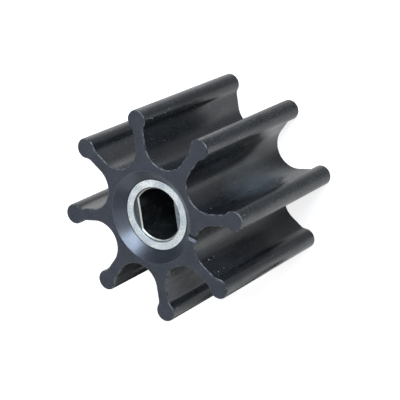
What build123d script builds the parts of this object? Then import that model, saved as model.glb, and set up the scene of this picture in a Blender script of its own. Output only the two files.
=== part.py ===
from build123d import *
from math import atan2, cos, pi, sin, sqrt
import os

# A flexible pump impeller: one rubber moulding of hub and vanes, bonded round a metal bush
# that a shaft with two flats drives. Millimetres. The axis is Z. The impeller stands on its
# back end at Z = 0 with its front end up, and one vane points along +Y.

# Rubber moulding
vane_count = 8
tip_diameter = 65.0          # over the vane tips, before a pump bends them
width = 50.0                 # along the axis, over both end faces
bead_radius = 3.15           # the round sealing bead along each vane's tip
vane_thickness = 3.8         # the straight arm between hub and bead
shoulder_radius = 2.5        # the hollow where the arm swells into its bead
end_rounding = 0.45          # the moulded edge round both end faces

# Recess in each end of the hub, down to the bush
recess_depth = 2.9
recess_flare = 3.15          # how far the mouth stands out from the bush, all round
mouth_rounding = 0.3
rim_width = 2.15             # flat land between the mouth and the bottom of a valley

# Round-bottomed notch across the front rim, in the valley that follows the +X vane clockwise
notch_radius = 0.95
notch_depth = 0.8

# Bush
bush_diameter = 22.2
bush_edge_chamfer = 0.3
lock_ring_count = 3          # rings of rubber that lock the moulding to the bush
lock_ring_width = 3.0
lock_ring_depth = 0.6

# Drive bore, for a shaft with two flats
shaft_diameter = 15.88
shaft_flats = 12.7
shaft_clearance = 0.1        # on the diameter, and across the flats
counterbore_diameter = 17.1
counterbore_depth = 0.6
bore_edge_chamfer = 0.35

# Worked out from the sizes above
half_vane = vane_thickness / 2
half_pitch = pi / vane_count
bead_centre = tip_diameter / 2 - bead_radius
bush_radius = bush_diameter / 2
bush_length = width - 2 * recess_depth
bush_middle = width / 2
mouth_radius = bush_radius + recess_flare
valley_bottom = mouth_radius + rim_width
bore_diameter = shaft_diameter + shaft_clearance
bore_flats = shaft_flats + shaft_clearance


def on_circle(centre, radius, angle):
    """The point on a circle at an angle from +X, in radians."""
    return (centre[0] + radius * cos(angle), centre[1] + radius * sin(angle))


def vane_side():
    """The right side of the +Y vane, from its tip down to the bottom of the valley."""
    # The valley is an arc that runs out tangent along the flanks of the vanes beside it.
    valley_distance = (valley_bottom - half_vane) / (1 - sin(half_pitch))
    valley_radius = valley_distance - valley_bottom
    valley_centre = on_circle((0, 0), valley_distance, pi / 2 - half_pitch)
    valley_middle = on_circle(valley_centre, valley_radius, 5 * pi / 4 - half_pitch / 2)
    valley_end = on_circle((0, 0), valley_bottom, pi / 2 - half_pitch)

    # The shoulder is an arc tangent to the flank and to the bead.
    shoulder_x = half_vane + shoulder_radius
    shoulder_drop = sqrt((bead_radius + shoulder_radius) ** 2 - shoulder_x**2)
    shoulder_centre = (shoulder_x, bead_centre - shoulder_drop)
    lean = atan2(-shoulder_drop, shoulder_x)
    bead_middle = on_circle((0, bead_centre), bead_radius, (pi / 2 + lean) / 2)
    bead_end = on_circle((0, bead_centre), bead_radius, lean)
    shoulder_middle = on_circle(shoulder_centre, shoulder_radius, pi + lean / 2)

    tip = (0, tip_diameter / 2)
    flank_top = (half_vane, shoulder_centre[1])
    flank_foot = (half_vane, valley_centre[1])
    return [
        ThreePointArc(tip, bead_middle, bead_end),
        ThreePointArc(bead_end, shoulder_middle, flank_top),
        Line(flank_top, flank_foot),
        ThreePointArc(flank_foot, valley_middle, valley_end),
    ]


def star_face():
    """The section that the hub and all its vanes share along the axis."""
    right = vane_side()
    vane = right + [mirror(edge, about=Plane.YZ) for edge in right]
    pitch = 360 / vane_count
    turns = [Rotation(0, 0, pitch * number) for number in range(vane_count)]
    return make_face([turn * edge for turn in turns for edge in vane])


def is_round(edge, radius):
    """Whether an edge is a circle of this radius."""
    return edge.geom_type == GeomType.CIRCLE and abs(edge.radius - radius) < 0.001


def bush_blank(edge_chamfer):
    """The bush before it is bored: a round bar with a groove for each lock ring."""
    blank = Cylinder(bush_radius, bush_length)
    if edge_chamfer > 0:
        blank = chamfer(blank.edges().filter_by(GeomType.CIRCLE), edge_chamfer)
    groove = Cylinder(bush_diameter, lock_ring_width)
    groove -= Cylinder(bush_radius - lock_ring_depth, lock_ring_width)
    spacing = bush_length / (lock_ring_count + 1)
    for number in range(lock_ring_count):
        blank -= Pos(0, 0, spacing * (number + 1) - bush_length / 2) * groove
    return Pos(0, 0, bush_middle) * blank


def end_recess():
    """The space of one recess: a cone that narrows from the mouth to the bush."""
    return Cone(bush_radius, mouth_radius, recess_depth, align=(Align.CENTER, Align.CENTER, Align.MIN))


def vane_body():
    """The moulding: the star section with rounded end edges, recesses, bush seat and notch."""
    star = extrude(star_face(), width)
    ends = star.edges().group_by(Axis.Z)
    star = fillet(ends[0] + ends[-1], end_rounding)

    front_recess = Pos(0, 0, width - recess_depth) * end_recess()
    back_recess = mirror(front_recess, about=Plane.XY.offset(bush_middle))
    body = star - front_recess - back_recess
    mouths = body.edges().filter_by(lambda edge: is_round(edge, mouth_radius))
    body = fillet(mouths, mouth_rounding) - bush_blank(0)

    notch_length = valley_bottom + 1 - bush_radius
    notch = Rotation(0, 90, 0) * Cylinder(
        notch_radius, notch_length, align=(Align.CENTER, Align.CENTER, Align.MIN)
    )
    notch_middle = width + notch_radius - notch_depth
    to_valley = Rotation(0, 0, -180 / vane_count) * Pos(bush_radius, 0, notch_middle)
    return body - to_valley * notch


def drive_bore():
    """The shaft's space: a round bar with two flats that face +X and -X."""
    return Cylinder(bore_diameter / 2, width) & Box(bore_flats, bore_diameter, width)


def hub_bush():
    """The bush: turned outside, broached for the shaft, and counterbored at both ends."""
    bush = bush_blank(bush_edge_chamfer) - Pos(0, 0, bush_middle) * drive_bore()
    floor_height = bush_length / 2 - counterbore_depth
    for side in (-1, 1):
        floor = bush_middle + side * floor_height
        counterbore = Cylinder(counterbore_diameter / 2, counterbore_depth)
        bush -= Pos(0, 0, floor + side * counterbore_depth / 2) * counterbore
        # The longest edge on the floor is the counterbore's own, and the rest are the bore's.
        on_floor = bush.edges().filter_by_position(Axis.Z, floor - 0.001, floor + 0.001)
        bush = chamfer(on_floor.sort_by(SortBy.LENGTH)[:-1], bore_edge_chamfer)
    return bush


os.makedirs("parts", exist_ok=True)
export_step(vane_body(), "parts/vane_body.step")
export_step(hub_bush(), "parts/hub_bush.step")
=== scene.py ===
from math import acos, atan2, cos, pi, radians, sin, sqrt, tan

import bmesh
import bpy
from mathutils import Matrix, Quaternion, Vector


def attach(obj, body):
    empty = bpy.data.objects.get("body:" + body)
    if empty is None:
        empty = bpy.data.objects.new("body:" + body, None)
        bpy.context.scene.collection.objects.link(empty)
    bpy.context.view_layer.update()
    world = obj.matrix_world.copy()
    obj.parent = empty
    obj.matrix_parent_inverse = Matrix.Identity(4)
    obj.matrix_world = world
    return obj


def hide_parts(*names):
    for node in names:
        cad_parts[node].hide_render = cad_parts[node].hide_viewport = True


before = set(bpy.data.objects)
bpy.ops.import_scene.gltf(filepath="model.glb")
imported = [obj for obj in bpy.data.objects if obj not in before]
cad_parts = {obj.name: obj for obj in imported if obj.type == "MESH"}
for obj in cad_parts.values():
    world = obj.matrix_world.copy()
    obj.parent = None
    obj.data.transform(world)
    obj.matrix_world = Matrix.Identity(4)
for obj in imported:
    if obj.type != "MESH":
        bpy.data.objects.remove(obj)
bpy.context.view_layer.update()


# ---- Rubber moulding ---------------------------------------------------------------------
# The hub and its eight bead-tipped vanes are one piece of oil-resistant rubber, pressed and
# cured in a steel mould round the bush. Both end faces are then ground flat, which leaves
# them duller and bluer than the moulded sides.

# Vanes and the valleys between them
vane_count = 8
tip_radius = 0.0325
width = 0.050                # along the axis, over both end faces
bead_radius = 0.00315        # the round bead along each vane's tip
half_vane = 0.0019           # half the thickness of a vane's straight arm
shoulder_radius = 0.0025     # the hollow where the arm swells into its bead
end_rounding = 0.00045
half_pitch = pi / vane_count

# Recess in each end of the hub, down to the bush
bush_radius = 0.0111
recess_depth = 0.0029
recess_flare = 0.00315       # how far the mouth stands out from the bush, all round
mouth_rounding = 0.0003
rim_width = 0.00215          # flat land between the mouth and the bottom of a valley
mouth_radius = bush_radius + recess_flare
valley_bottom = mouth_radius + rim_width

# Rings of rubber that lock the moulding to the bush
bush_length = width - 2 * recess_depth
lock_ring_count = 3
lock_ring_width = 0.003
lock_ring_depth = 0.0006

# Facets along each curve and wall
bead_steps = 18
shoulder_steps = 6
flank_steps = 6
valley_steps = 18
wall_steps = 32
end_rounding_steps = 5
mouth_rounding_steps = 4
cone_steps = 5
circle_steps = 160

# The rings of the end rounding that are painted paler, for handling wear and a painted edge
# highlight, counted from the end face
worn_and_highlit_from = 1
worn_and_highlit_to = 4

# The moulding's finishes, in the order of its materials
moulded_side = 0
ground_end = 1
moulded_recess = 2
worn_and_highlit_edge = 3
cut_notch = 4


def arc(centre, radius, start, end, steps):
    """Evenly spaced points along an arc, from one angle to another."""
    angles = [start + (end - start) * step / steps for step in range(steps + 1)]
    return [(centre[0] + radius * cos(angle), centre[1] + radius * sin(angle)) for angle in angles]


def vane_side():
    """The right side of the +Y vane: bead, shoulder, flank and half of the valley."""
    bead_centre = tip_radius - bead_radius
    shoulder_x = half_vane + shoulder_radius
    shoulder_drop = sqrt((bead_radius + shoulder_radius) ** 2 - shoulder_x**2)
    lean = atan2(-shoulder_drop, shoulder_x)
    shoulder_y = bead_centre - shoulder_drop
    valley_distance = (valley_bottom - half_vane) / (1 - sin(half_pitch))
    valley_radius = valley_distance - valley_bottom
    valley_centre = (valley_distance * sin(half_pitch), valley_distance * cos(half_pitch))
    flank_drop = shoulder_y - valley_centre[1]

    bead = arc((0, bead_centre), bead_radius, pi / 2, lean, bead_steps)
    shoulder = arc((shoulder_x, shoulder_y), shoulder_radius, pi + lean, pi, shoulder_steps)
    flank = [(half_vane, shoulder_y - flank_drop * step / flank_steps)
             for step in range(flank_steps + 1)]
    valley = arc(valley_centre, valley_radius, pi, 3 * pi / 2 - half_pitch, valley_steps)
    return bead + shoulder[1:] + flank[1:] + valley[1:]


def star_outline():
    """The section of the moulding, clockwise round the axis, one vane after another."""
    right = vane_side()
    left = [(-x, y) for x, y in reversed(right)]
    vane = left[:-1] + right[:-1]
    outline = []
    for number in range(vane_count):
        turn = -2 * half_pitch * number
        outline += [(x * cos(turn) - y * sin(turn), x * sin(turn) + y * cos(turn))
                    for x, y in vane]
    return outline


def set_in(outline, inset):
    """The outline moved into the rubber by an even distance."""
    moved = []
    for index, (x, y) in enumerate(outline):
        before = Vector(outline[index - 1])
        after = Vector(outline[(index + 1) % len(outline)])
        along = (after - before).normalized()
        moved.append((x + along.y * inset, y - along.x * inset))
    return moved


def circle(radius):
    """Evenly spaced points round the axis, from +X."""
    angles = [2 * pi * step / circle_steps for step in range(circle_steps)]
    return [(radius * cos(angle), radius * sin(angle)) for angle in angles]


def add_ring(mesh, points, height):
    """A ring of corners at one height, for a skin to join."""
    return [mesh.verts.new((x, y, height)) for x, y in points]


def skin(mesh, rings, finish):
    """Bands of quads that join each ring to the next."""
    for near, far in zip(rings, rings[1:]):
        for index in range(len(near)):
            face = mesh.faces.new((near[index - 1], near[index], far[index], far[index - 1]))
            face.material_index = finish


def cap(mesh, outer, inner, finish):
    """A flat face between two rings that lie in one plane."""
    edges = [mesh.edges.get((ring[index - 1], ring[index])) for ring in (outer, inner)
             for index in range(len(ring))]
    filled = bmesh.ops.triangle_fill(mesh, use_beauty=True, use_dissolve=False, edges=edges)
    for part in filled["geom"]:
        if isinstance(part, bmesh.types.BMFace):
            part.material_index = finish


def recess_profile():
    """Radius and depth of one recess, from the end face over its rounded mouth to the bush."""
    slope = atan2(recess_depth, recess_flare)
    tangent = mouth_rounding * tan(slope / 2)
    profile = []
    for step in range(mouth_rounding_steps + 1):
        turn = slope * step / mouth_rounding_steps
        profile.append((mouth_radius + tangent - mouth_rounding * sin(turn),
                        mouth_rounding * (1 - cos(turn))))
    start_radius, start_depth = profile[-1]
    for step in range(1, cone_steps + 1):
        share = step / cone_steps
        profile.append((start_radius + (bush_radius - start_radius) * share,
                        start_depth + (recess_depth - start_depth) * share))
    return profile


def seat_profile():
    """Radius and height of the wall between rubber and bush, from the back end upwards."""
    groove_radius = bush_radius - lock_ring_depth
    spacing = bush_length / (lock_ring_count + 1)
    profile = []
    for number in range(lock_ring_count):
        middle = recess_depth + spacing * (number + 1)
        low, high = middle - lock_ring_width / 2, middle + lock_ring_width / 2
        profile += [(bush_radius, low), (groove_radius, low),
                    (groove_radius, high), (bush_radius, high)]
    return profile


def moulding_mesh():
    """The star section with rounded ends, a recess at each end and the seat of the bush."""
    rounding = []
    for step in range(end_rounding_steps + 1):
        turn = pi / 2 * step / end_rounding_steps
        rounding.append((end_rounding * (1 - sin(turn)), end_rounding * (1 - cos(turn))))
    wall = width - 2 * end_rounding
    levels = rounding + [(0, end_rounding + wall * step / wall_steps)
                         for step in range(1, wall_steps)]
    levels += [(inset, width - height) for inset, height in reversed(rounding)]

    mesh = bmesh.new()
    outline = star_outline()
    outside = [add_ring(mesh, set_in(outline, inset), height) for inset, height in levels]
    skin(mesh, outside[:worn_and_highlit_from + 1], moulded_side)
    skin(mesh, outside[worn_and_highlit_from:worn_and_highlit_to + 1], worn_and_highlit_edge)
    skin(mesh, outside[worn_and_highlit_to:-worn_and_highlit_to], moulded_side)
    skin(mesh, outside[-worn_and_highlit_to - 1:-worn_and_highlit_from], worn_and_highlit_edge)
    skin(mesh, outside[-worn_and_highlit_from - 1:], moulded_side)

    recess = recess_profile()
    hollow = recess + seat_profile()
    hollow += [(radius, width - depth) for radius, depth in reversed(recess)]
    inside = [add_ring(mesh, circle(radius), height) for radius, height in hollow]
    skin(mesh, inside, moulded_recess)

    cap(mesh, outside[0], inside[0], ground_end)
    cap(mesh, outside[-1], inside[-1], ground_end)
    return mesh


def finish_piece(name, mesh, *materials):
    """Turns the faces outward and puts the mesh in the scene as one smooth piece."""
    bmesh.ops.recalc_face_normals(mesh, faces=mesh.faces)
    for face in mesh.faces:
        face.smooth = True
    data = bpy.data.meshes.new(name)
    mesh.to_mesh(data)
    mesh.free()
    for material in materials:
        data.materials.append(material)
    piece = bpy.data.objects.new(name, data)
    bpy.context.scene.collection.objects.link(piece)
    return piece


def plain_finish(name, **settings):
    """A material to build on, with the constants of its shader set by name."""
    material = bpy.data.materials.new(name)
    material.use_nodes = True
    shader = material.node_tree.nodes["Principled BSDF"]
    for setting, value in settings.items():
        shader.inputs[setting.replace("_", " ")].default_value = value
    return material, material.node_tree, shader


def node(tree, kind, **settings):
    """A shader node, with its settings made and its sockets set or linked, each by name."""
    made = tree.nodes.new("ShaderNode" + kind)
    for name, value in settings.items():
        socket = name.replace("_", " ")
        if socket not in made.inputs:
            setattr(made, name, value)
        elif isinstance(value, bpy.types.NodeSocket):
            tree.links.new(value, made.inputs[socket])
        else:
            made.inputs[socket].default_value = value
    return made


def surface_point(tree):
    """The place of a point on the piece, in metres."""
    return node(tree, "TexCoord").outputs["Object"]


def vector_maths(tree, operation, vector, second=(0, 0, 0)):
    """One step of maths on a vector. Its outputs are a vector and a value."""
    step = node(tree, "VectorMath", operation=operation)
    tree.links.new(vector, step.inputs[0])
    step.inputs[1].default_value = second
    return step.outputs


def value_maths(tree, operation, first, second):
    """One step of maths on two values."""
    step = node(tree, "Math", operation=operation)
    tree.links.new(first, step.inputs[0])
    tree.links.new(second, step.inputs[1])
    return step.outputs["Value"]


def product(tree, first, second):
    """Two values multiplied."""
    return value_maths(tree, "MULTIPLY", first, second)


def spread(tree, value, low, high, from_low=0.3, from_high=0.7):
    """A value stretched to run from low to high, and held there beyond its own range."""
    ramp = node(tree, "MapRange", Value=value, From_Min=from_low, From_Max=from_high,
                To_Min=low, To_Max=high)
    return ramp.outputs["Result"]


def heading(azimuth, elevation=0):
    """The direction at an angle round from +X and an angle up from level, in degrees."""
    across = radians(azimuth)
    up = radians(elevation)
    return Vector((cos(up) * cos(across), cos(up) * sin(across), sin(up)))


def distance_along(tree, direction):
    """How far a point lies along a direction from the middle of the back end."""
    return vector_maths(tree, "DOT_PRODUCT", surface_point(tree), direction)["Value"]


def distance_from(tree, centre, stretch=(1, 1, 1)):
    """How far a point lies from a centre, with each axis stretched or pressed together."""
    pressed = vector_maths(tree, "MULTIPLY", surface_point(tree), stretch)["Vector"]
    centre = [part * share for part, share in zip(centre, stretch)]
    return vector_maths(tree, "DISTANCE", pressed, centre)["Value"]


def grain(tree, scale, stretch=(1, 1, 1), detail=3.0):
    """Noise at so many features to the metre, drawn out along an axis by a stretch under 1."""
    mapping = node(tree, "Mapping", Vector=surface_point(tree),
                   Scale=[scale * part for part in stretch])
    noise = node(tree, "TexNoise", Vector=mapping.outputs["Vector"], Scale=1.0, Detail=detail)
    return noise.outputs["Fac"]


def specks(tree, scale, size, share):
    """Scattered round specks: a share of so many cells to the metre hold one of that size."""
    solid_share = 0.6
    fade = 0.01
    cells = node(tree, "TexVoronoi", Vector=surface_point(tree), Scale=scale)
    dot = spread(tree, cells.outputs["Distance"], 1, 0, size * scale * solid_share, size * scale)
    parts = node(tree, "SeparateColor", Color=cells.outputs["Color"])
    chosen = spread(tree, parts.outputs["Red"], 0, 1, 1 - share, 1 - share + fade)
    return product(tree, dot, chosen)


def mixed_colour(tree, share, first, second):
    """A colour between two, each a plain colour or another socket."""
    mix = node(tree, "Mix", data_type="RGBA", Factor=share)
    for name, colour in (("A", first), ("B", second)):
        socket = [entry for entry in mix.inputs if entry.name == name and entry.type == "RGBA"][0]
        if isinstance(colour, tuple):
            socket.default_value = (*colour, 1)
        else:
            tree.links.new(colour, socket)
    return [entry for entry in mix.outputs if entry.type == "RGBA"][0]


def dress(tree, shader, colour, roughness):
    """Gives the shader its colour and roughness, both uneven over the surface."""
    tree.links.new(colour, shader.inputs["Base Color"])
    tree.links.new(roughness, shader.inputs["Roughness"])


def relief(tree, shader, height, depth, under=None):
    """Fine relief of a given depth in metres on top of any relief under it."""
    bump = node(tree, "Bump", Strength=1.0, Distance=depth, Height=height)
    if under:
        tree.links.new(under, bump.inputs["Normal"])
    tree.links.new(bump.outputs["Normal"], shader.inputs["Normal"])
    return bump.outputs["Normal"]


def moulded_rubber():
    """Satin black rubber from the mould: cloudy, with draw lines, a thin bloom, a painted pool of
    light, scuffs and dust.
    """
    material, tree, shader = plain_finish("moulded_rubber", IOR=1.84,
                                          Specular_Tint=(0.92, 0.97, 1.0, 1))
    cloud = spread(tree, grain(tree, 180), 0, 1)
    colour = mixed_colour(tree, cloud, (0.006, 0.007, 0.010), (0.012, 0.014, 0.019))
    draw_lines = grain(tree, 1500, (1, 1, 0.03), detail=2.0)
    drawn = spread(tree, draw_lines, 0, 0.6, 0.55, 0.75)
    colour = mixed_colour(tree, drawn, colour, (0.035, 0.037, 0.041))

    # A painted pool of light lies in one valley, and a faint bloom of wax lies thinly all over.
    painted_light_middle = (0.0192, 0.0026, 0.0200)
    painted_light_full, painted_light_reach = 0.0012, 0.0095
    from_painted_light = distance_from(tree, painted_light_middle, (1, 1, 0.55))
    painted_light_pool = product(tree, spread(tree, from_painted_light, 1, 0, painted_light_full, painted_light_reach),
                    spread(tree, grain(tree, 300), 0.6, 1))
    colour = mixed_colour(tree, painted_light_pool, colour, (0.110, 0.128, 0.150))
    haze = spread(tree, grain(tree, 90, (1, 1, 0.4)), 0, 0.18, 0.5, 0.8)
    colour = mixed_colour(tree, haze, colour, (0.070, 0.078, 0.088))

    # The bead tips stand out furthest and are scuffed by handling.
    scuff_start, scuff_full = 0.0300, 0.0324
    level = vector_maths(tree, "MULTIPLY", surface_point(tree), (1, 1, 0))["Vector"]
    from_axis = vector_maths(tree, "LENGTH", level)["Value"]
    scuff = product(tree, spread(tree, from_axis, 0, 1, scuff_start, scuff_full),
                    spread(tree, grain(tree, 2600, (1, 1, 0.6)), 0, 0.8, 0.5, 0.7))
    colour = mixed_colour(tree, scuff, colour, (0.090, 0.095, 0.102))

    # Dust lies all over, thickest in the front half.
    thin_dust, thin_below, full_above = 0.35, 0.022, 0.040
    height = distance_along(tree, (0, 0, 1))
    settled = spread(tree, height, thin_dust, 1, thin_below, full_above)
    dust = product(tree, specks(tree, 1500, 0.00013, 0.30), settled)
    colour = mixed_colour(tree, dust, colour, (0.16, 0.18, 0.20))
    grit = product(tree, specks(tree, 620, 0.00020, 0.16), settled)
    colour = mixed_colour(tree, grit, colour, (0.42, 0.46, 0.50))

    dress(tree, shader, colour, spread(tree, grain(tree, 260, (1, 1, 0.4)), 0.21, 0.36))
    wave = relief(tree, shader, grain(tree, 110, (1, 1, 0.35), detail=1.0), 0.00020)
    ripple = relief(tree, shader, grain(tree, 700, (1, 1, 0.25), detail=1.0), 0.000012, wave)
    fine = relief(tree, shader, grain(tree, 3600), 0.000005, ripple)
    relief(tree, shader, draw_lines, 0.000004, fine)
    return material


def ground_rubber():
    """The end faces: blue-grey and dull, with the short lines of the grinding wheel."""
    material, tree, shader = plain_finish("ground_rubber", Specular_IOR_Level=0.3)
    cloud = spread(tree, grain(tree, 220), 0, 1)
    colour = mixed_colour(tree, cloud, (0.044, 0.049, 0.063), (0.060, 0.065, 0.083))
    blotch = spread(tree, grain(tree, 1300, detail=2.0), 0, 0.6, 0.45, 0.70)
    colour = mixed_colour(tree, blotch, colour, (0.034, 0.038, 0.052))
    speckle = spread(tree, grain(tree, 3000, detail=2.0), 0, 0.8, 0.50, 0.72)
    colour = mixed_colour(tree, speckle, colour, (0.105, 0.114, 0.134))
    dress(tree, shader, colour, spread(tree, grain(tree, 400), 0.55, 0.7))
    lines = relief(tree, shader, grain(tree, 3000, (1, 0.12, 1), detail=2.0), 0.000010)
    relief(tree, shader, grain(tree, 6500), 0.000012, lines)
    return material


def recess_rubber():
    """The recess: pressed against a polished pin, so the smoothest and shiniest rubber."""
    material, tree, shader = plain_finish("recess_rubber", IOR=2.0,
                                          Specular_Tint=(0.80, 0.86, 1.0, 1))
    cloud = spread(tree, grain(tree, 220), 0, 1)
    # Painted light and shade: one side of the recess is painted paler, and the other darker.
    recess_shaded_colour = mixed_colour(tree, cloud, (0.016, 0.019, 0.027), (0.026, 0.030, 0.040))
    recess_lit_colour = mixed_colour(tree, cloud, (0.044, 0.049, 0.064), (0.059, 0.065, 0.083))
    recess_painted_lit_side = spread(tree, distance_along(tree, heading(120)), 0, 1, -0.004, 0.010)
    colour = mixed_colour(tree, recess_painted_lit_side, recess_shaded_colour, recess_lit_colour)
    speckle = spread(tree, grain(tree, 2400, detail=2.0), 0, 0.6, 0.5, 0.72)
    colour = mixed_colour(tree, speckle, colour, (0.090, 0.098, 0.120))
    dress(tree, shader, colour, spread(tree, grain(tree, 500), 0.28, 0.38))
    relief(tree, shader, grain(tree, 4200), 0.000008)
    return material


def worn_and_highlit_rubber():
    """The rims of the end faces, painted paler in broken patches: handling wear, and a painted
    highlight along the edges.
    """
    material, tree, shader = plain_finish("worn_and_highlit_rubber")
    wear_and_highlight = spread(tree, grain(tree, 700), 0, 1, 0.42, 0.60)
    colour = mixed_colour(tree, wear_and_highlight, (0.035, 0.038, 0.048), (0.15, 0.16, 0.18))
    dress(tree, shader, colour, spread(tree, grain(tree, 900), 0.4, 0.55))
    relief(tree, shader, grain(tree, 4200), 0.000012)
    return material


def painted_notch_rubber():
    """The notch, cut after moulding: coarse, and painted pale as a painted highlight on its lit
    floor and wall.
    """
    material, tree, shader = plain_finish("painted_notch_rubber")
    painted_highlight_mottle = spread(tree, grain(tree, 1800), 0, 1)
    colour = mixed_colour(tree, painted_highlight_mottle, (0.13, 0.145, 0.18), (0.22, 0.24, 0.30))
    # A painted shadow darkens one side of the cut, where its edge would shade it.
    across_notch = (sin(half_pitch), cos(half_pitch), 0)
    painted_shadow = spread(tree, distance_along(tree, across_notch), 0, 1, -0.0004, -0.0001)
    colour = mixed_colour(tree, painted_shadow, colour, (0.004, 0.004, 0.006))
    dress(tree, shader, colour, spread(tree, grain(tree, 900), 0.55, 0.7))
    relief(tree, shader, grain(tree, 2600), 0.000030)
    return material


vane_rubber = finish_piece("vane_rubber", moulding_mesh(), moulded_rubber(), ground_rubber(),
                           recess_rubber(), worn_and_highlit_rubber(), painted_notch_rubber())

# The notch is a round-bottomed nick across the front rim, in one valley. A round bar cuts it,
# from just clear of the bush to just past the bottom of the valley.
notch_radius = 0.00095
notch_depth = 0.0008
notch_from_bush = 0.0006
notch_past_valley = 0.001
notch_steps = 64
weld_distance = 0.000002
rubber_crease = radians(38)

notch_start = bush_radius + notch_from_bush
notch_length = valley_bottom + notch_past_valley - notch_start
notch_turn = Quaternion((0, 0, 1), -half_pitch)
notch_middle = Vector((notch_start + notch_length / 2, 0, width + notch_radius - notch_depth))
notch_mesh = bmesh.new()
bmesh.ops.create_cone(notch_mesh, cap_ends=True, segments=notch_steps, radius1=notch_radius,
                      radius2=notch_radius, depth=notch_length)
for face in notch_mesh.faces:
    face.material_index = cut_notch
notch_bar = finish_piece("notch_bar", notch_mesh, *vane_rubber.data.materials)
notch_bar.rotation_mode = "QUATERNION"
notch_bar.rotation_quaternion = notch_turn @ Quaternion((0, 1, 0), pi / 2)
notch_bar.location = notch_turn @ notch_middle
cut = vane_rubber.modifiers.new("notch", "BOOLEAN")
cut.object = notch_bar
cut.solver = "EXACT"
bpy.context.view_layer.update()
graph = bpy.context.evaluated_depsgraph_get()
cut_data = bpy.data.meshes.new_from_object(vane_rubber.evaluated_get(graph))
vane_rubber.modifiers.remove(cut)
bpy.data.objects.remove(notch_bar)

# The cut leaves a few corners twice over, which are joined again.
welded = bmesh.new()
welded.from_mesh(cut_data)
bmesh.ops.remove_doubles(welded, verts=welded.verts, dist=weld_distance)
for face in welded.faces:
    face.smooth = True
welded.to_mesh(cut_data)
welded.free()
vane_rubber.data = cut_data
vane_rubber.data.set_sharp_from_angle(angle=rubber_crease)
even = vane_rubber.modifiers.new("even_shading", "WEIGHTED_NORMAL")
even.keep_sharp = True

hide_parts("vane_body")
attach(vane_rubber, "root")


# ---- Bush --------------------------------------------------------------------------------
# A bar of metal turned to size, grooved outside so that the rubber locks on, broached with
# two flats for the shaft and counterbored at both ends. Its faces are bright and finely
# turned, and the long bore stays dark and scored by the broach.

bush_edge_chamfer = 0.0003
counterbore_radius = 0.00855
counterbore_depth = 0.0006
rim_break = 0.00008          # the broken edge round the counterbore's mouth
bore_radius = 0.00799
bore_flat = 0.0064           # from the axis to a flat
bore_bevel = 0.00035
bore_corner = acos(bore_flat / bore_radius)
bush_crease = radians(25)

# Facets round each flat and each round side of the bore, and along it
flat_steps = 24
round_steps = 48
bore_steps = 12

# The bush's finishes, in the order of its materials
turned_face = 0
counterbore_floor = 1
bevel_edge = 2
bore_wall = 3

# The finish of each band over an end, from the outer chamfer across the face into the bore
end_finishes = (counterbore_floor, turned_face, turned_face, turned_face, counterbore_floor,
                bevel_edge)


def bore_angles():
    """Angles round the bore, with one at each of the four corners of the flats."""
    stretches = ((-bore_corner, bore_corner, flat_steps),
                 (bore_corner, pi - bore_corner, round_steps),
                 (pi - bore_corner, pi + bore_corner, flat_steps),
                 (pi + bore_corner, 2 * pi - bore_corner, round_steps))
    angles = []
    for start, end, steps in stretches:
        angles += [start + (end - start) * step / steps for step in range(steps)]
    return angles


def bore_section(growth):
    """The bore's section, grown evenly outward."""
    near_enough = 1e-9
    radius = bore_radius + growth
    flat = bore_flat + growth
    limit = radius * sin(acos(flat / radius))
    section = []
    for angle in bore_angles():
        side = 1 if cos(angle) > 0 else -1
        if abs(cos(angle)) >= cos(bore_corner) - near_enough:
            section.append((side * flat, max(-limit, min(limit, side * flat * tan(angle)))))
        else:
            section.append((radius * cos(angle), radius * sin(angle)))
    return section


def bush_circle(radius):
    """A circle with a point at each of the bore's angles."""
    return [(radius * cos(angle), radius * sin(angle)) for angle in bore_angles()]


def bush_end(mesh, height, inward):
    """Rings over one end, from the outer chamfer across the face and down into the bore."""
    shape = [
        (bush_circle(bush_radius), bush_edge_chamfer),
        (bush_circle(bush_radius - bush_edge_chamfer), 0),
        (bush_circle(counterbore_radius + rim_break), 0),
        (bush_circle(counterbore_radius), rim_break),
        (bush_circle(counterbore_radius), counterbore_depth),
        (bore_section(bore_bevel), counterbore_depth),
        (bore_section(0), counterbore_depth + bore_bevel),
    ]
    return [add_ring(mesh, points, height + inward * depth) for points, depth in shape]


def bush_mesh():
    """Both ends of the bush, the bore between them and the grooved outside."""
    mesh = bmesh.new()
    back = bush_end(mesh, recess_depth, 1)
    front = bush_end(mesh, recess_depth + bush_length, -1)
    for rings in (back, front):
        for near, far, finish in zip(rings, rings[1:], end_finishes):
            skin(mesh, [near, far], finish)

    start = counterbore_depth + bore_bevel
    bore = [back[-1]]
    for step in range(1, bore_steps):
        height = recess_depth + start + (bush_length - 2 * start) * step / bore_steps
        bore.append(add_ring(mesh, bore_section(0), height))
    skin(mesh, bore + [front[-1]], bore_wall)

    outside = [add_ring(mesh, bush_circle(radius), height) for radius, height in seat_profile()]
    skin(mesh, [back[0]] + outside + [front[0]], turned_face)
    return mesh


def turned_metal():
    """Bright satin metal with turning rings about the axis and a fine grey mottle."""
    material, tree, shader = plain_finish("turned_metal", Metallic=0.8)
    mottle = spread(tree, grain(tree, 260), 0, 1)
    colour = mixed_colour(tree, mottle, (0.56, 0.64, 0.69), (0.97, 1.0, 1.0))
    speckle = spread(tree, grain(tree, 1700, detail=2.0), 0, 0.8, 0.50, 0.70)
    colour = mixed_colour(tree, speckle, colour, (0.40, 0.46, 0.48))
    # Painted shade darkens one side of the face.
    bush_painted_shade = spread(tree, distance_along(tree, heading(-105)), 0, 0.45, -0.009, 0.009)
    bush_painted_shade = product(tree, bush_painted_shade, spread(tree, grain(tree, 420), 0.5, 1.0))
    colour = mixed_colour(tree, bush_painted_shade, colour, (0.52, 0.59, 0.63))
    dress(tree, shader, colour, spread(tree, grain(tree, 1500), 0.36, 0.52))
    rings = node(tree, "TexWave", wave_type="RINGS", rings_direction="Z",
                 Vector=surface_point(tree), Scale=900.0, Distortion=1.5)
    turned = relief(tree, shader, rings.outputs["Fac"], 0.0000015)
    relief(tree, shader, grain(tree, 3200), 0.000016, turned)
    return material


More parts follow.
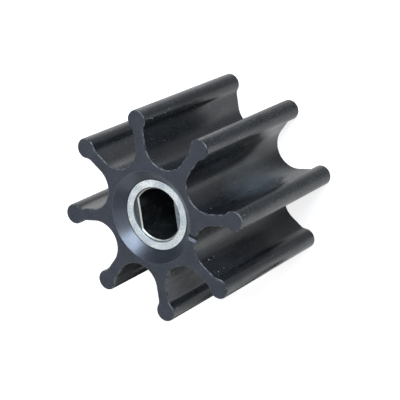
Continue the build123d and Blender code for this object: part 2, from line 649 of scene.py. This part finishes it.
def counterbored_metal():
    """The ledges over the flats: painted darker as shade down in the counterbore, more so on one
    side, with stains.
    """
    material, tree, shader = plain_finish("counterbored_metal", Metallic=0.8)
    ledge_painted_lit_side = spread(tree, distance_along(tree, (1, 0, 0)), 0, 1, -0.006, 0.006)
    colour = mixed_colour(tree, ledge_painted_lit_side, (0.120, 0.137, 0.147), (0.29, 0.33, 0.36))
    stain = spread(tree, grain(tree, 1200), 0, 0.5)
    colour = mixed_colour(tree, stain, colour, (0.05, 0.055, 0.06))
    dress(tree, shader, colour, spread(tree, grain(tree, 900), 0.42, 0.6))
    relief(tree, shader, grain(tree, 3600), 0.000012)
    return material


def bevelled_metal():
    """The bevels at the mouths of the bore, burnished bright by the shaft."""
    material, tree, shader = plain_finish("bevelled_metal", Metallic=0.6)
    scuff = spread(tree, grain(tree, 1600), 0, 1)
    colour = mixed_colour(tree, scuff, (0.80, 0.79, 0.72), (0.95, 0.94, 0.88))
    dress(tree, shader, colour, spread(tree, grain(tree, 900), 0.4, 0.55))
    relief(tree, shader, grain(tree, 3600), 0.000006)
    return material


def broached_metal():
    """The bore: dark and dull, scored end to end by the broach, with smears of grease."""
    material, tree, shader = plain_finish("broached_metal", Metallic=0.9)
    score = spread(tree, grain(tree, 2200, (1, 1, 0.04), detail=2.0), 0, 1)
    colour = mixed_colour(tree, score, (0.055, 0.064, 0.068), (0.100, 0.112, 0.120))
    smear = spread(tree, grain(tree, 420, (1, 1, 0.8)), 0, 0.9, 0.52, 0.70)
    colour = mixed_colour(tree, smear, colour, (0.20, 0.21, 0.22))
    dress(tree, shader, colour, spread(tree, grain(tree, 700), 0.34, 0.5))
    relief(tree, shader, grain(tree, 2600, (1, 1, 0.05)), 0.000012)
    return material


bush_metal = finish_piece("bush_metal", bush_mesh(), turned_metal(),
                          counterbored_metal(), bevelled_metal(), broached_metal())
bush_metal.data.set_sharp_from_angle(angle=bush_crease)
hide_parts("hub_bush")
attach(bush_metal, "root")


# ---- Floor -------------------------------------------------------------------------------
# A white sheet under the impeller. To the camera it glows, a little less close to the
# impeller, so that it reads as plain white with a faint shadow. Gloss looks through it to
# the pale surround, apart from the shades that lie on it.

floor_half = 2.0
near_glow = 0.75
near_reach = 0.10
full_glow_from = 0.35

# Shades on the sheet: the middle of each, the share that it lets through there, and the
# distances at which it starts to clear and has cleared.
shades = (((-0.033, -0.055), 0.02, 0.033, 0.039),
          ((0.0135, -0.055), 0.02, 0.009, 0.013),
          ((0.0295, -0.043), 0.01, 0.006, 0.010),
          ((0.0, 0.006), 0.01, 0.011, 0.014),
          ((0.013, -0.006), 0.45, 0.007, 0.018),
          ((0.040, 0.048), 0.53, 0.002, 0.048))


def shade(tree, centre, darkest, inner, outer):
    """How much a round shade on the floor lets through, least within its inner distance."""
    return spread(tree, distance_from(tree, (*centre, 0)), darkest, 1, inner, outer)


def white_sheet():
    """Matt white that glows to the camera and is clear to gloss, apart from its shades."""
    material, tree, shader = plain_finish(
        "white_sheet", Base_Color=(0.8, 0.8, 0.8, 1), Roughness=0.9, Specular_IOR_Level=0.0,
        Emission_Color=(1, 1, 1, 1))
    path = node(tree, "LightPath").outputs
    seen = value_maths(tree, "MAXIMUM", path["Is Camera Ray"], path["Is Transmission Ray"])
    glow = shade(tree, (0, 0), near_glow, near_reach, full_glow_from)
    tree.links.new(product(tree, seen, glow), shader.inputs["Emission Strength"])
    clear = shade(tree, *shades[0])
    for values in shades[1:]:
        clear = product(tree, clear, shade(tree, *values))
    see_through = node(tree, "BsdfTransparent", Color=clear)
    blend = node(tree, "MixShader")
    tree.links.new(path["Is Glossy Ray"], blend.inputs[0])
    tree.links.new(shader.outputs["BSDF"], blend.inputs[1])
    tree.links.new(see_through.outputs["BSDF"], blend.inputs[2])
    tree.links.new(blend.outputs["Shader"], tree.nodes["Material Output"].inputs["Surface"])
    return material


floor_data = bpy.data.meshes.new("floor_sheet")
corners = [(-floor_half, -floor_half, 0), (floor_half, -floor_half, 0),
           (floor_half, floor_half, 0), (-floor_half, floor_half, 0)]
floor_data.from_pydata(corners, [], [(0, 1, 2, 3)])
floor_data.materials.append(white_sheet())
floor = bpy.data.objects.new("floor_sheet", floor_data)
bpy.context.scene.collection.objects.link(floor)


# ---- Studio light ------------------------------------------------------------------------
# A cool soft box high in front, a broad one behind it to the side, a white card on the far
# side, and a faint even light from all round. Gloss also sees a white sweep below the
# sheet, which is dimmer under the soft boxes and straight down.

even_light = 0.08
sweep_under_boxes = 0.36
sweep_straight_down = 0.18
toward_boxes = heading(45)

world = bpy.data.worlds.new("studio")
bpy.context.scene.world = world
world.use_nodes = True
tree = world.node_tree
background = tree.nodes["Background"]
background.inputs["Color"].default_value = (1, 1, 1, 1)
path = node(tree, "LightPath").outputs
outward = node(tree, "TexCoord").outputs["Generated"]
to_boxes = vector_maths(tree, "DOT_PRODUCT", outward, toward_boxes)["Value"]
around = spread(tree, to_boxes, 1, sweep_under_boxes, from_low=0.28, from_high=0.55)
up = vector_maths(tree, "DOT_PRODUCT", outward, (0, 0, 1))["Value"]
below = spread(tree, up, 1, 0, from_low=-0.02, from_high=0.02)
down = spread(tree, up, sweep_straight_down, 1, from_low=-0.96, from_high=-0.80)
sweep = product(tree, around, product(tree, below, down))
sweep = product(tree, sweep, path["Is Glossy Ray"])
all_round = spread(tree, path["Is Camera Ray"], even_light, 1, from_low=0, from_high=1)
tree.links.new(value_maths(tree, "MAXIMUM", all_round, sweep), background.inputs["Strength"])


def soft_box(name, azimuth, elevation, distance, size, radiance, colour=(1, 1, 1)):
    """A square lamp of an even radiance that faces the middle of the impeller."""
    light = bpy.data.lights.new(name, "AREA")
    light.shape = "SQUARE"
    light.size = size
    light.energy = pi * size**2 * radiance
    light.color = colour
    lamp = bpy.data.objects.new(name, light)
    towards = heading(azimuth, elevation)
    lamp.location = Vector((0, 0, width / 2)) + towards * distance
    lamp.rotation_mode = "QUATERNION"
    lamp.rotation_quaternion = towards.to_track_quat("Z", "Y")
    bpy.context.scene.collection.objects.link(lamp)


soft_box("key_box", azimuth=57, elevation=44, distance=0.7, size=0.42, radiance=7.8,
         colour=(0.80, 0.90, 1.0))
soft_box("side_box", azimuth=78, elevation=14, distance=0.7, size=0.45, radiance=0.7)
soft_box("front_box", azimuth=5, elevation=34, distance=0.9, size=0.8, radiance=0.6)
soft_box("low_card", azimuth=-99, elevation=10, distance=0.7, size=0.5, radiance=0.6)
soft_box("card", azimuth=-157, elevation=50, distance=0.7, size=0.52, radiance=1.20)


# ---- Camera ------------------------------------------------------------------------------
# A long lens above and to the side of the front end, rolled so that the impeller seems to
# lie over on its side.

picture_width = 400
focal_pixels = 1481.0
sensor_width = 36.0
camera_distance = 0.4553
camera_aim = Vector((0.0001, -0.0018, width / 2))
camera_azimuth = 22.7
camera_elevation = 50.8
camera_roll = -116.16

back = heading(camera_azimuth, camera_elevation)
roll = Quaternion((0, 0, 1), radians(camera_roll))
camera_data = bpy.data.cameras.new("camera")
camera_data.sensor_width = sensor_width
camera_data.lens = sensor_width * focal_pixels / picture_width
camera = bpy.data.objects.new("camera", camera_data)
camera.location = camera_aim + back * camera_distance
camera.rotation_mode = "QUATERNION"
camera.rotation_quaternion = back.to_track_quat("Z", "Y") @ roll
bpy.context.scene.collection.objects.link(camera)
bpy.context.scene.camera = camera
bpy.context.scene.view_settings.view_transform = "Standard"
